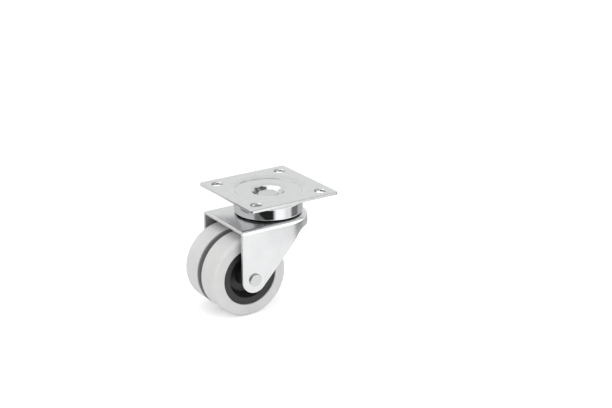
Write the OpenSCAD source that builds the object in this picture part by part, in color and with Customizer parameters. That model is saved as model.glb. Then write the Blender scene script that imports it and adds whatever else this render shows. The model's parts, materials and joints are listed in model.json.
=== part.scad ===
// Swivel castor with a square screw plate and two narrow wheels on one axle.
// The mounting face of the plate is at z = 0, centred on the swivel axis, and the castor hangs
// below it. The wheels trail towards -X, and their axle lies along Y.

/* [Overall] */
// Height of the mounting face above the floor
overall_h = 72; // [65:0.5:84]
// Distance from the swivel axis back to the axle
trail = 24; // [21:0.5:28]

/* [Top plate] */
// Length of the plate along X
plate_l = 61; // [56:1:90]
// Width of the plate along Y
plate_w = 61; // [56:1:90]
// Thickness of the plate
plate_t = 2; // [1.6:0.1:2.6]
// Radius of the plate's corners
plate_corner_r = 1.5; // [1:0.5:6]
// Spacing of the screw holes along X
hole_spacing_x = 45; // [43:0.5:47]
// Spacing of the screw holes along Y
hole_spacing_y = 45; // [43:0.5:47]
// Diameter of the screw holes
hole_d = 6.5; // [5:0.1:7]
// Width of the rolled edge that the punch leaves round each hole
hole_edge = 0.5; // [0.2:0.1:1]
// Diameter of the flat floor of the shallow round pressing in the middle of the plate
pressing_d = 40; // [36:0.5:44]
// Depth of the shallow pressing
pressing_depth = 1.5; // [0.6:0.1:2]
// Level width of the pressing's sloping wall
pressing_run = 2.5; // [1.5:0.1:4]
// Radius that rounds the pressing's upper edge
pressing_edge_r = 5; // [3:0.5:6]
// Diameter at which the line of the dish's wall meets the pressing's floor
dish_d = 20.5; // [19:0.5:24]
// Radius that rounds the dish's mouth
dish_edge_r = 4; // [3:0.1:5]
// Diameter of the dish's flat floor
dish_floor_d = 15; // [14:0.5:17]

/* [King pin] */
// Diameter of the pin
pin_d = 10; // [8:0.5:11]
// Diameter of the head in the dish
pin_head_d = 13.2; // [12:0.1:13.8]
// Thickness of the head in the dish
pin_head_t = 2; // [1.5:0.1:2.4]
// Depth of the head's top below the mounting face
pin_head_drop = 3.7; // [3:0.1:4.4]
// Bevel round the edges of both heads
pin_bevel = 0.7; // [0.3:0.1:1]
// Diameter of the closing head under the lower race
pin_foot_d = 15; // [13:0.1:17]
// Thickness of the closing head
pin_foot_t = 2.2; // [1.6:0.1:3]

/* [Swivel bearing] */
// Outside diameter of the bearing cup
cup_d = 42; // [38:0.5:45]
// Height of the bearing cup
cup_h = 10.9; // [9.8:0.1:14]
// Thickness of the cup's sheet
cup_t = 1.8; // [1.4:0.1:2.2]
// Open gap between the cup's rim and the fork
cup_gap = 1; // [0.6:0.1:1.6]
// Diameter of the upper balls
upper_ball_d = 5; // [4.5:0.1:5.4]
// Diameter of the lower balls
lower_ball_d = 4; // [3.5:0.1:4.4]
// Play between a ball and its track
ball_play = 0.1; // [0.05:0.01:0.15]
// Least gap between neighbouring balls
ball_gap = 0.1; // [0.05:0.01:0.2]
// Thickness of the lower race under its groove
race_t = 2; // [1.4:0.1:3]

/* [Fork] */
// Outside width of the fork
fork_w = 46; // [42:0.5:52]
// Thickness of the fork's sheet
fork_t = 2; // [1.6:0.1:2.4]
// Outside radius of the folds
fold_r = 2.8; // [2.6:0.1:4]
// How far the centre of the round front lies ahead of the swivel axis
nose_offset = 1; // [0:0.5:4]
// Depth of the drawn skirt round the front
skirt_depth = 7; // [4.5:0.5:9]
// Radius of the leg ends about the axle
leg_end_r = 8.3; // [7:0.1:10]
// Slope of the legs' front edges above the horizontal
leg_slope = 47; // [42:0.5:54]
// Radius that blends the front edges into the skirt
skirt_blend_r = 6; // [2:0.5:8]
// Gap between the crown's wall and the inside of the cup
crown_gap = 0.9; // [0.6:0.1:1.4]
// Gap between the underside of the plate's dish and the crown
dish_gap = 0.6; // [0.4:0.1:0.8]
// Gap between the king pin and the crown's hole
pin_gap = 1; // [0.5:0.1:1.5]

/* [Axle] */
// Diameter of the axle rivet
axle_d = 6; // [5:0.1:6.6]
// Diameter of the axle rivet's heads
axle_head_d = 7.7; // [7:0.1:10]
// How far the rivet's heads stand out from the legs
axle_head_t = 1.2; // [0.8:0.1:2]
// Bevel round the rivet's heads
axle_bevel = 0.3; // [0.1:0.1:0.6]
// Outside diameter of the sleeve that the wheels run on
sleeve_d = 8; // [7.5:0.1:9]

/* [Wheels] */
// Diameter of the wheels
wheel_d = 50; // [46:0.5:56]
// Width of each tyre
wheel_w = 15.5; // [14:0.5:18]
// Gap between the two tyres
wheel_gap = 4; // [2:0.5:5]
// Radius of the tyre's outer shoulder
tyre_shoulder_r = 2; // [1:0.5:4]
// Radius of the tyre's inner edge
tyre_edge_r = 0.6; // [0.3:0.1:1.5]
// Outside diameter of the rim under the tyre
rim_d = 35.6; // [33:0.1:40]
// How far the rim's faces lie inside the tyre's faces
rim_inset = 0.8; // [0.4:0.1:1.5]
// Wall thickness of the rim
rim_wall = 2; // [1.5:0.1:2.4]
// Width of the ridge that keys the tyre to the rim
key_w = 6; // [4:0.5:8]
// Height of that ridge
key_h = 1.2; // [0.6:0.1:2]
// Diameter of the round recess at the rim's outer face
recess_d = 27; // [25:0.5:28]
// Diameter of the recess at its floor
recess_floor_d = 23; // [20:0.5:25]
// Depth of the recess
recess_depth = 6.5; // [4:0.5:8]
// Diameter of the hub
hub_d = 13; // [11.5:0.5:15]
// Number of ribs behind the recess
rib_count = 6; // [4:1:8]
// Thickness of the ribs
rib_t = 1.6; // [1:0.1:2.2]

/* [Fits] */
// Radial play of the wheels on the sleeve
running_play = 0.05; // [0.02:0.01:0.1]
// Radial play of pieces that are riveted together
seat_play = 0.05; // [0.02:0.01:0.1]
// End play beside the hubs
end_play = 0.3; // [0.2:0.05:0.5]

/* [Hidden] */
// Smoothness of round shapes
$fn = 96;
// How far shapes run past each other where one is merged with or cut from another
lap = 0.5;
// How far a rounding runs over the lines that it blends, so that they cross and don't just touch
touch = 0.02;

// Levels of the plate, its pressing and its dish, from the mounting face down
plate_under_z = -plate_t;
pressing_z = -pressing_depth;
pressing_under_z = pressing_z - plate_t;
dish_floor_z = -(pin_head_drop + pin_head_t);
dish_under_z = dish_floor_z - plate_t;

// Radii and slopes on top of the plate
pressing_r = pressing_d / 2;
pressing_rim_r = pressing_r + pressing_run;
pressing_slope = atan(pressing_depth / pressing_run);
dish_r = dish_d / 2;
dish_floor_r = dish_floor_d / 2;
dish_slope = atan((pressing_z - dish_floor_z) / (dish_r - dish_floor_r));
// A bend in the sheet lies this much further out on the underside than on top
pressing_shift = plate_t * tan(pressing_slope / 2);
dish_shift = plate_t * tan(dish_slope / 2);
// Centres of the arcs that round the pressing's upper edge and the dish's mouth
rim_centre = [pressing_rim_r + pressing_edge_r * tan(pressing_slope / 2), -pressing_edge_r];
mouth_centre = [dish_r + dish_edge_r * tan(dish_slope / 2), pressing_z - dish_edge_r];

// Bearing cup
cup_r = cup_d / 2;
cup_top_z = pressing_under_z;
cup_web_z = cup_top_z - cup_t;
cup_rim_z = cup_top_z - cup_h;
cup_hole_r = mouth_centre[0] + lap;

// Upper balls, which run in the cup's top corner
upper_track_r = upper_ball_d / 2 + ball_play;
upper_pitch_r = cup_r - cup_t - upper_track_r;
upper_pitch_z = cup_web_z - upper_track_r;
upper_ball_count = floor(180 / asin((upper_ball_d + ball_gap) / (2 * upper_pitch_r)));

// Fork's flat top, and the crown that is drawn up from it into the cup
fork_z = cup_rim_z - cup_gap;
fork_under_z = fork_z - fork_t;
crown_z = dish_under_z - dish_gap;
crown_under_z = crown_z - fork_t;
shoulder_z = upper_pitch_z - upper_track_r;
shoulder_under_z = shoulder_z - fork_t;
crown_r = upper_pitch_r - upper_track_r;
crown_wall_r = cup_r - cup_t - crown_gap;
crown_hole_r = pin_d / 2 + pin_gap;

// Lower balls, which run in the corner under the crown
lower_track_r = lower_ball_d / 2 + ball_play;
lower_pitch_r = crown_r - fork_t - lower_track_r;
lower_pitch_z = crown_under_z - lower_track_r;
lower_ball_count = floor(180 / asin((lower_ball_d + ball_gap) / (2 * lower_pitch_r)));

// Lower race and the king pin's closing head
race_groove_z = lower_pitch_z - lower_track_r;
race_z = race_groove_z - race_t;
race_r = lower_pitch_r + lower_track_r / 2;
pin_foot_z = race_z - pin_foot_t;

// Axle and the fork's outline from the side
axle_x = -trail;
axle_z = wheel_d / 2 - overall_h;
fork_rear_x = axle_x - leg_end_r;
fork_inner_y = fork_w / 2 - fork_t;
skirt_z = fork_z - skirt_depth;
leg_front = [axle_x + leg_end_r * sin(leg_slope), axle_z - leg_end_r * cos(leg_slope)];
leg_front_l = (skirt_z - leg_front[1]) / sin(leg_slope);
skirt_corner = [leg_front[0] + leg_front_l * cos(leg_slope), skirt_z];
blend_centre = skirt_corner + skirt_blend_r * [tan(leg_slope / 2), -1];

// Wheels, measured outwards from the middle of the axle
tyre_in_y = wheel_gap / 2;
tyre_out_y = tyre_in_y + wheel_w;
rim_in_y = tyre_in_y + rim_inset;
rim_out_y = tyre_out_y - rim_inset;
web_out_y = rim_out_y - recess_depth;
web_in_y = web_out_y - rim_wall;
hub_in_y = end_play / 2;
hub_out_y = fork_inner_y - end_play;
bore_r = sleeve_d / 2 + running_play;
sleeve_bore_r = axle_d / 2 + seat_play;
wheel_room = fork_inner_y - tyre_out_y;

// Colours of the finishes
zinc = [0.80, 0.81, 0.82];
polished_steel = [0.72, 0.73, 0.75];
ball_steel = [0.62, 0.63, 0.66];
tyre_grey = [0.78, 0.78, 0.77];
rim_black = [0.07, 0.07, 0.07];

upper_ball_names = [for (i = [1 : upper_ball_count]) str("upper_ball_", i)];
lower_ball_names = [for (i = [1 : lower_ball_count]) str("lower_ball_", i)];

// Rectangle from low to high
module block(low, high) {
    translate(low) square(high - low);
}

// Rectangle from low to high whose corner at high is rounded
module round_block(low, high, r) {
    block(low, [high[0] - r, high[1]]);
    block(low, [high[0], high[1] - r]);
    translate([high[0] - r, high[1] - r]) circle(r);
}

// Corner between a level line and a line that falls away from it by slope, out to the arc that
// rounds it
module bend_corner(centre, slope, r) {
    corner_r = r + lap;
    translate(centre) difference() {
        polygon([
            [0, 0],
            [0, corner_r],
            corner_r * [-tan(slope / 2), 1],
            corner_r * [-sin(slope), cos(slope)]
        ]);
        circle(r + touch);
    }
}

// Rounded square outline of the plate
module plate_outline() {
    square([plate_l - 2 * plate_corner_r, plate_w], center = true);
    square([plate_l, plate_w - 2 * plate_corner_r], center = true);
    for (x = [-1, 1], y = [-1, 1])
        translate([x * (plate_l / 2 - plate_corner_r), y * (plate_w / 2 - plate_corner_r)])
            circle(plate_corner_r);
}

// Screw hole with the rolled edge at the mounting face
module screw_hole() {
    translate([0, 0, plate_under_z - lap]) cylinder(d = hole_d, h = plate_t + 2 * lap);
    translate([0, 0, -hole_edge]) cylinder(d1 = hole_d, d2 = hole_d + 2 * hole_edge, h = hole_edge);
}

// Half section of the space above the pressing and the dish
module pressing_space() {
    polygon([
        [0, lap],
        [pressing_rim_r, lap],
        [pressing_rim_r, 0],
        [pressing_r, pressing_z],
        [dish_r, pressing_z],
        [dish_floor_r, dish_floor_z],
        [0, dish_floor_z]
    ]);
    bend_corner(rim_centre, pressing_slope, pressing_edge_r);
    bend_corner(mouth_centre, dish_slope, dish_edge_r);
}

// Half section of what the pressing and the dish push out below the plate
module pressing_bulge() {
    polygon([
        [0, plate_under_z + lap],
        [pressing_rim_r + pressing_shift, plate_under_z + lap],
        [pressing_rim_r + pressing_shift, plate_under_z],
        [pressing_r + pressing_shift, pressing_under_z],
        [dish_r + dish_shift, pressing_under_z],
        [dish_floor_r + dish_shift, dish_under_z],
        [0, dish_under_z]
    ]);
    bend_corner(rim_centre, pressing_slope, pressing_edge_r - plate_t);
    bend_corner(mouth_centre, dish_slope, dish_edge_r - plate_t);
}

module top_plate() {
    color(zinc) difference() {
        union() {
            translate([0, 0, plate_under_z]) linear_extrude(plate_t) plate_outline();
            rotate_extrude() pressing_bulge();
        }
        rotate_extrude() pressing_space();
        translate([0, 0, dish_under_z - lap])
            cylinder(r = pin_d / 2 + seat_play, h = plate_t + 2 * lap);
        for (x = [-1, 1], y = [-1, 1])
            translate([x * hole_spacing_x / 2, y * hole_spacing_y / 2, 0]) screw_hole();
    }
}

module bearing_cup() {
    inner_r = cup_r - cup_t;
    rim_round_r = cup_t / 2;
    color(polished_steel) rotate_extrude() {
        difference() {
            round_block([cup_hole_r, cup_rim_z + rim_round_r], [cup_r, cup_top_z], upper_track_r + cup_t);
            round_block([0, cup_rim_z], [inner_r, cup_web_z], upper_track_r);
        }
        translate([cup_r - rim_round_r, cup_rim_z + rim_round_r]) circle(rim_round_r);
    }
}

module king_pin() {
    head_r = pin_head_d / 2;
    foot_r = pin_foot_d / 2;
    color(zinc) rotate_extrude() polygon([
        [0, -pin_head_drop],
        [head_r - pin_bevel, -pin_head_drop],
        [head_r, -pin_head_drop - pin_bevel],
        [head_r, dish_floor_z],
        [pin_d / 2, dish_floor_z],
        [pin_d / 2, race_z],
        [foot_r, race_z],
        [foot_r, pin_foot_z + pin_bevel],
        [foot_r - pin_bevel, pin_foot_z],
        [0, pin_foot_z]
    ]);
}

module lower_race() {
    color(polished_steel) rotate_extrude() difference() {
        block([pin_d / 2 + seat_play, race_z], [race_r, lower_pitch_z]);
        translate([lower_pitch_r, lower_pitch_z]) circle(lower_track_r);
        block([lower_pitch_r, race_groove_z], [race_r + lap, lower_pitch_z + lap]);
    }
}

module upper_ball(i) {
    color(ball_steel) rotate([0, 0, i * 360 / upper_ball_count])
        translate([upper_pitch_r, 0, upper_pitch_z]) sphere(d = upper_ball_d);
}

module lower_ball(i) {
    color(ball_steel) rotate([0, 0, i * 360 / lower_ball_count])
        translate([lower_pitch_r, 0, lower_pitch_z]) sphere(d = lower_ball_d);
}

// Half of the folded sheet's section, from the middle out to one leg
module fork_half_section() {
    low_z = axle_z - leg_end_r - lap;
    difference() {
        round_block([0, low_z], [fork_w / 2, fork_z], fold_r);
        round_block([-lap, low_z - lap], [fork_inner_y, fork_under_z], fold_r - fork_t);
    }
}

// The sheet runs straight along X and turns through half a circle at the nose
module folded_sheet() {
    rear_x = fork_rear_x - lap;
    translate([rear_x, 0, 0]) rotate([90, 0, 90]) linear_extrude(nose_offset - rear_x) {
        fork_half_section();
        mirror([1, 0]) fork_half_section();
    }
    translate([nose_offset, 0, 0]) rotate([0, 0, -90]) rotate_extrude(angle = 180) fork_half_section();
}

// Outline of the fork seen from the side, in X and Z
module fork_side() {
    block([fork_rear_x, skirt_z], [nose_offset + fork_w / 2 + lap, fork_z + lap]);
    polygon([
        [fork_rear_x, skirt_z + lap],
        [fork_rear_x, axle_z],
        [axle_x, axle_z],
        [axle_x + (skirt_z + lap - axle_z) / tan(leg_slope), skirt_z + lap]
    ]);
    translate([axle_x, axle_z]) rotate(leg_slope) {
        circle(leg_end_r + touch);
        block([0, -leg_end_r], [leg_front_l + lap, lap]);
    }
    bend_corner(blend_centre, leg_slope, skirt_blend_r);
}

// Section of the crown: the hat over the lower balls, the shoulder under the upper balls, the wall
module crown_section() {
    foot_r = crown_gap;
    difference() {
        union() {
            block([crown_hole_r, shoulder_under_z], [upper_pitch_r, crown_z]);
            block([crown_r - fork_t, shoulder_under_z], [crown_wall_r, shoulder_z]);
            block([crown_wall_r - fork_t, fork_under_z], [crown_wall_r, shoulder_z]);
            block([crown_wall_r - lap, fork_z - lap], [crown_wall_r + foot_r, fork_z + foot_r]);
        }
        translate([upper_pitch_r, upper_pitch_z]) circle(upper_track_r);
        translate([lower_pitch_r, lower_pitch_z]) circle(lower_track_r);
        block([0, shoulder_under_z - lap], [lower_pitch_r, crown_under_z]);
        block([0, shoulder_under_z - lap], [crown_r - fork_t, lower_pitch_z]);
        translate([crown_wall_r + foot_r, fork_z + foot_r]) circle(foot_r);
    }
}

// Puts a piece on the axle, with its local z pointing out to the side (1 left, -1 right)
module on_axle(side) {
    translate([axle_x, 0, axle_z]) rotate([-90 * side, 0, 0]) children();
}

module fork() {
    color(zinc) difference() {
        union() {
            difference() {
                intersection() {
                    folded_sheet();
                    rotate([90, 0, 0]) linear_extrude(fork_w + 2 * lap, center = true) fork_side();
                }
                translate([0, 0, fork_under_z - lap])
                    cylinder(r = crown_wall_r - fork_t / 2, h = fork_t + 2 * lap);
            }
            rotate_extrude() crown_section();
        }
        on_axle(1) cylinder(r = sleeve_bore_r, h = fork_w + 2 * lap, center = true);
        // Room round the wheels, which reaches the sheet when the castor is low or the wheels are large
        on_axle(1)
            cylinder(r = wheel_d / 2 + wheel_room, h = tyre_out_y + fork_inner_y, center = true);
    }
}

module axle_rivet() {
    head_r = axle_head_d / 2;
    head_y = fork_w / 2;
    end_y = head_y + axle_head_t;
    color(zinc) on_axle(1) rotate_extrude() polygon([
        [0, -end_y],
        [head_r - axle_bevel, -end_y],
        [head_r, axle_bevel - end_y],
        [head_r, -head_y],
        [axle_d / 2, -head_y],
        [axle_d / 2, head_y],
        [head_r, head_y],
        [head_r, end_y - axle_bevel],
        [head_r - axle_bevel, end_y],
        [0, end_y]
    ]);
}

module axle_sleeve() {
    color(polished_steel) on_axle(1) difference() {
        cylinder(d = sleeve_d, h = 2 * fork_inner_y, center = true);
        cylinder(r = sleeve_bore_r, h = 2 * (fork_inner_y + lap), center = true);
    }
}

// Outline of the rim's outside, with the ridge that keys the tyre
module rim_outside() {
    middle_y = (rim_in_y + rim_out_y) / 2;
    block([0, rim_in_y], [rim_d / 2, rim_out_y]);
    block([0, middle_y - key_w / 2], [rim_d / 2 + key_h, middle_y + key_w / 2]);
}

module tyre(side) {
    tyre_r = wheel_d / 2;
    edge_y = tyre_in_y + wheel_w / 2;
    color(tyre_grey) on_axle(side) rotate_extrude() difference() {
        union() {
            round_block([rim_d / 2, edge_y], [tyre_r, tyre_out_y], tyre_shoulder_r);
            translate([0, 2 * edge_y]) mirror([0, 1])
                round_block([rim_d / 2, edge_y], [tyre_r, tyre_out_y], tyre_edge_r);
        }
        rim_outside();
    }
}

// Section of the rim: outer tube, face ring, coned recess, web and hub
module rim_section() {
    rim_r = rim_d / 2;
    recess_r = recess_d / 2;
    floor_r = recess_floor_d / 2;
    hub_r = hub_d / 2;
    difference() {
        rim_outside();
        block([0, 0], [rim_r - rim_wall, tyre_out_y]);
    }
    polygon([
        [recess_r, rim_out_y],
        [rim_r - lap, rim_out_y],
        [rim_r - lap, rim_out_y - rim_wall],
        [recess_r + rim_wall, rim_out_y - rim_wall],
        [floor_r + rim_wall, web_in_y],
        [hub_r - lap, web_in_y],
        [hub_r - lap, web_out_y],
        [floor_r, web_out_y]
    ]);
    block([bore_r, hub_in_y], [hub_r, hub_out_y]);
}

module rim(side) {
    hub_r = hub_d / 2;
    rib_l = rim_d / 2 - rim_wall - hub_r + 2 * lap;
    rib_h = web_in_y - rim_in_y;
    color(rim_black) on_axle(side) {
        rotate_extrude() rim_section();
        for (i = [1 : rib_count])
            rotate([0, 0, i * 360 / rib_count]) translate([hub_r - lap, -rib_t / 2, rim_in_y])
                cube([rib_l, rib_t, rib_h + lap]);
    }
}

module left_tyre() { tyre(1); }
module right_tyre() { tyre(-1); }
module left_rim() { rim(1); }
module right_rim() { rim(-1); }

top_plate();
bearing_cup();
king_pin();
lower_race();
fork();
axle_rivet();
axle_sleeve();
left_tyre();
left_rim();
right_tyre();
right_rim();
for (i = [1 : upper_ball_count])
    upper_ball(i);
for (i = [1 : lower_ball_count])
    lower_ball(i);
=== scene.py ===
import json
import math

import bmesh
import bpy
from mathutils import Matrix, Quaternion, Vector


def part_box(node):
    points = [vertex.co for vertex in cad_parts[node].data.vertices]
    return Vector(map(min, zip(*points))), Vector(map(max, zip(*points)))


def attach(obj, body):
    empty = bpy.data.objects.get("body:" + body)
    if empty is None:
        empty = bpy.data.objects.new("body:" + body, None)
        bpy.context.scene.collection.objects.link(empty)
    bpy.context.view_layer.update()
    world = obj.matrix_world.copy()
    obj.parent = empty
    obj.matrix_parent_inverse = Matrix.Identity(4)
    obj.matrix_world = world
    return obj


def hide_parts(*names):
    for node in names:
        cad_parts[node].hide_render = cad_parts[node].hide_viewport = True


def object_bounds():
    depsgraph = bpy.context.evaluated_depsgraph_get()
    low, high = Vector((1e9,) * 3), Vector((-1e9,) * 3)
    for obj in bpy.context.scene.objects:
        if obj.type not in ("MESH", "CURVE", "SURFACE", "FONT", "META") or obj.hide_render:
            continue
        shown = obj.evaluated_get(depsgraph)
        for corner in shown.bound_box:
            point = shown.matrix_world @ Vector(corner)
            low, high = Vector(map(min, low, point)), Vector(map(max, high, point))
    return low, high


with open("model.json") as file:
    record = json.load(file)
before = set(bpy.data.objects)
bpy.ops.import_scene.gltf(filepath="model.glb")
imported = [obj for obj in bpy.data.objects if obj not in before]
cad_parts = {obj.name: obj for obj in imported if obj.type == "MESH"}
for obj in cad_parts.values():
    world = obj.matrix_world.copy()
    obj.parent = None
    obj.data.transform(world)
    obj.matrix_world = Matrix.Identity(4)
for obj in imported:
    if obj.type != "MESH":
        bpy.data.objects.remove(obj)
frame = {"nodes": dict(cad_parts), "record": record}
cad_low, cad_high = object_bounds()

# Top plate: a square of 2 mm sheet steel, blanked, punched with four screw holes and pressed down
# in the middle for the rivet, then bright zinc plated. It is screwed to the furniture, and the
# bearing cup is clamped under it.
mm = 0.001
plate_low, plate_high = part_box("top_plate")
bolts = next(m for m in frame["record"]["mounts"] if m["name"] == "plate_bolts")
plate_half_x = plate_high.x
plate_half_y = plate_high.y
plate_t = 2 * mm
plate_corner_r = 1.5 * mm
plate_edge_r = 0.45 * mm
hole_x = bolts["dims"]["spacing_x_mm"] / 2 * mm
hole_y = bolts["dims"]["spacing_y_mm"] / 2 * mm
hole_r = bolts["dims"]["hole_r_mm"] * mm
hole_roll_r = 1.2 * mm
hole_burr_r = 0.2 * mm
pin_hole_r = 5.05 * mm
pressing_r = 20 * mm
pressing_rim_r = 22.5 * mm
pressing_z = -1.5 * mm
pressing_edge_r = 5 * mm
pressing_foot_r = 1.2 * mm
crease_h = 0.25 * mm
crease_w = 0.12 * mm
dish_r = 10.25 * mm
dish_edge_r = 4 * mm
dish_floor_r = 7.5 * mm
dish_floor_z = plate_low.z + plate_t
flat_margin = 0.6 * mm


def softened(corners, closed=True, steps=7):
    """Outline through corners of (x, y, radius), with each corner rounded by an arc of its radius."""
    points = []
    last = len(corners) - 1
    for i, (x, y, radius) in enumerate(corners):
        here = Vector((x, y))
        if radius == 0 or (not closed and i in (0, last)):
            points.append(here)
            continue
        side_before = Vector(corners[i - 1][:2]) - here
        side_after = Vector(corners[(i + 1) % len(corners)][:2]) - here
        before = side_before.normalized()
        after = side_after.normalized()
        half = before.angle(after) / 2
        reach = radius / math.tan(half)
        centre = here + (before + after).normalized() * (radius / math.sin(half))
        start = here + before * reach - centre
        turn = math.pi - 2 * half
        if start.y * before.x - start.x * before.y < 0:
            turn = -turn
        # a short straight stretch on either side keeps the flat faces flat in shading
        guard = reach * 1.15
        if guard < side_before.length / 2:
            points.append(here + before * guard)
        for k in range(steps + 1):
            a = turn * k / steps
            points.append(centre + Vector((start.x * math.cos(a) - start.y * math.sin(a),
                                           start.x * math.sin(a) + start.y * math.cos(a))))
        if guard < side_after.length / 2:
            points.append(here + after * guard)
    return points


def add_turned(bm, profile, segments, closed=True, centre=(0, 0)):
    """Turns a profile of (radius, height) about the upright axis through centre."""
    rings = []
    for radius, height in profile:
        if radius < 1e-7:
            rings.append([bm.verts.new((centre[0], centre[1], height))])
            continue
        rings.append([bm.verts.new((centre[0] + radius * math.cos(2 * math.pi * k / segments),
                                    centre[1] + radius * math.sin(2 * math.pi * k / segments),
                                    height)) for k in range(segments)])
    pairs = list(zip(rings, rings[1:]))
    if closed:
        pairs.append((rings[-1], rings[0]))
    for one, two in pairs:
        for k in range(segments):
            n = (k + 1) % segments
            face = [one[k % len(one)], one[n % len(one)], two[n % len(two)], two[k % len(two)]]
            corners = list(dict.fromkeys(face))
            if len(corners) > 2:
                bm.faces.new(corners)
    return rings


def add_fill(bm, rings):
    """Fills the flat region between closed rings of vertices."""
    edges = []
    for ring in rings:
        for a, b in zip(ring, ring[1:] + ring[:1]):
            edges.append(bm.edges.get((a, b)) or bm.edges.new((a, b)))
    bmesh.ops.triangle_fill(bm, edges=edges, use_beauty=True)


def finished(name, bm, material, body, replaced, place=Matrix.Identity(4)):
    """Closes a mesh, gives it its finish and puts it on its body in place of its CAD nodes."""
    bmesh.ops.remove_doubles(bm, verts=bm.verts, dist=1e-6)
    bmesh.ops.transform(bm, matrix=place, verts=bm.verts)
    bmesh.ops.recalc_face_normals(bm, faces=bm.faces)
    for face in bm.faces:
        face.smooth = True
    mesh = bpy.data.meshes.new(name)
    bm.to_mesh(mesh)
    bm.free()
    mesh.materials.append(material)
    piece = bpy.data.objects.new(name, mesh)
    bpy.context.scene.collection.objects.link(piece)
    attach(piece, body)
    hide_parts(*replaced)
    return piece


def zinc_finish(name, shade, roughness, cloud_scale, grain):
    """Bright zinc on sheet steel: cloudy in tone, with a fine rolled grain along one direction."""
    material = bpy.data.materials.new(name)
    material.use_nodes = True
    nodes = material.node_tree.nodes
    link = material.node_tree.links.new
    shader = nodes["Principled BSDF"]
    shader.inputs["Metallic"].default_value = 1
    place = nodes.new("ShaderNodeTexCoord")
    clouds = nodes.new("ShaderNodeTexNoise")
    clouds.inputs["Scale"].default_value = cloud_scale
    clouds.inputs["Detail"].default_value = 5
    clouds.inputs["Roughness"].default_value = 0.6
    link(place.outputs["Object"], clouds.inputs["Vector"])
    tone = nodes.new("ShaderNodeValToRGB")
    tone.color_ramp.elements[0].position = 0.3
    tone.color_ramp.elements[0].color = [c * 0.93 for c in shade] + [1]
    tone.color_ramp.elements[1].position = 0.72
    tone.color_ramp.elements[1].color = list(shade) + [1]
    link(clouds.outputs["Fac"], tone.inputs["Fac"])
    link(tone.outputs["Color"], shader.inputs["Base Color"])
    stretch = nodes.new("ShaderNodeMapping")
    stretch.inputs["Scale"].default_value = grain
    link(place.outputs["Object"], stretch.inputs["Vector"])
    rolled = nodes.new("ShaderNodeTexNoise")
    rolled.inputs["Scale"].default_value = 1
    rolled.inputs["Detail"].default_value = 3
    link(stretch.outputs["Vector"], rolled.inputs["Vector"])
    polish = nodes.new("ShaderNodeMapRange")
    polish.inputs["To Min"].default_value = roughness - 0.03
    polish.inputs["To Max"].default_value = roughness + 0.04
    link(rolled.outputs["Fac"], polish.inputs["Value"])
    link(polish.outputs["Result"], shader.inputs["Roughness"])
    bump = nodes.new("ShaderNodeBump")
    bump.inputs["Strength"].default_value = 0.04
    bump.inputs["Distance"].default_value = 0.012 * mm
    link(rolled.outputs["Fac"], bump.inputs["Height"])
    link(bump.outputs["Normal"], shader.inputs["Normal"])
    return material


plate_zinc = zinc_finish("plate_zinc", (0.65, 0.655, 0.66), 0.20, 160, (900, 260, 900))


def plate_outline(bm, inset, z):
    """One ring of vertices round the plate, set in from its edge."""
    ring = []
    radius = plate_corner_r - min(inset, plate_corner_r * 0.8)
    for corner in range(4):
        sx = (1, -1, -1, 1)[corner]
        sy = (1, 1, -1, -1)[corner]
        centre = Vector((sx * (plate_half_x - inset - radius), sy * (plate_half_y - inset - radius)))
        for k in range(9):
            a = math.radians(90 * corner + 90 * k / 8)
            ring.append(bm.verts.new((centre.x + radius * math.cos(a),
                                      centre.y + radius * math.sin(a), z)))
    return ring


plate = bmesh.new()
edge_profile = softened([(flat_margin * 2, 0, 0), (0, 0, plate_edge_r), (0, -plate_t, plate_edge_r),
                         (flat_margin * 2, -plate_t, 0)], closed=False)
outline_rings = [plate_outline(plate, inset, z) for inset, z in edge_profile]
for one, two in zip(outline_rings, outline_rings[1:]):
    for k in range(len(one)):
        n = (k + 1) % len(one)
        plate.faces.new((one[k], one[n], two[n], two[k]))
hole_flat_r = hole_r + hole_roll_r + flat_margin
hole_profile = softened([(hole_flat_r, 0, 0), (hole_r, 0, hole_roll_r), (hole_r, -plate_t, hole_burr_r),
                         (hole_flat_r, -plate_t, 0)], closed=False)
hole_rings = [add_turned(plate, hole_profile, 48, closed=False, centre=(sx * hole_x, sy * hole_y))
              for sx in (-1, 1) for sy in (-1, 1)]
pressing_slope = math.atan2(-pressing_z, pressing_rim_r - pressing_r)
dish_slope = math.atan2(pressing_z - dish_floor_z, dish_r - dish_floor_r)
pressing_shift = plate_t * math.tan(pressing_slope / 2)
dish_shift = plate_t * math.tan(dish_slope / 2)
crease_r = pressing_r + crease_h / math.tan(pressing_slope)
rim_flat_r = pressing_rim_r + pressing_edge_r * math.tan(pressing_slope / 2) + flat_margin
pressing_profile = softened([
    (rim_flat_r, 0, 0),
    (pressing_rim_r, 0, pressing_edge_r),
    (crease_r, pressing_z + crease_h, 0.08 * mm),
    (crease_r - crease_w, pressing_z, 0.05 * mm),
    (dish_r, pressing_z, dish_edge_r),
    (dish_floor_r, dish_floor_z, 0.5 * mm),
    (pin_hole_r, dish_floor_z, 0.1 * mm),
    (pin_hole_r, dish_floor_z - plate_t, 0.1 * mm),
    (dish_floor_r + dish_shift, dish_floor_z - plate_t, 2 * mm),
    (dish_r + dish_shift, pressing_z - plate_t, dish_edge_r - plate_t),
    (pressing_r + pressing_shift, pressing_z - plate_t, pressing_foot_r + plate_t),
    (pressing_rim_r + pressing_shift, -plate_t, pressing_edge_r - plate_t),
    (rim_flat_r + pressing_shift, -plate_t, 0),
], closed=False)
pressing_rings = add_turned(plate, pressing_profile, 160, closed=False)
add_fill(plate, [outline_rings[0], pressing_rings[0]] + [rings[0] for rings in hole_rings])
add_fill(plate, [outline_rings[-1], pressing_rings[-1]] + [rings[-1] for rings in hole_rings])
finished("screw_plate", plate, plate_zinc, "mount", ["top_plate"])

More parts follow.
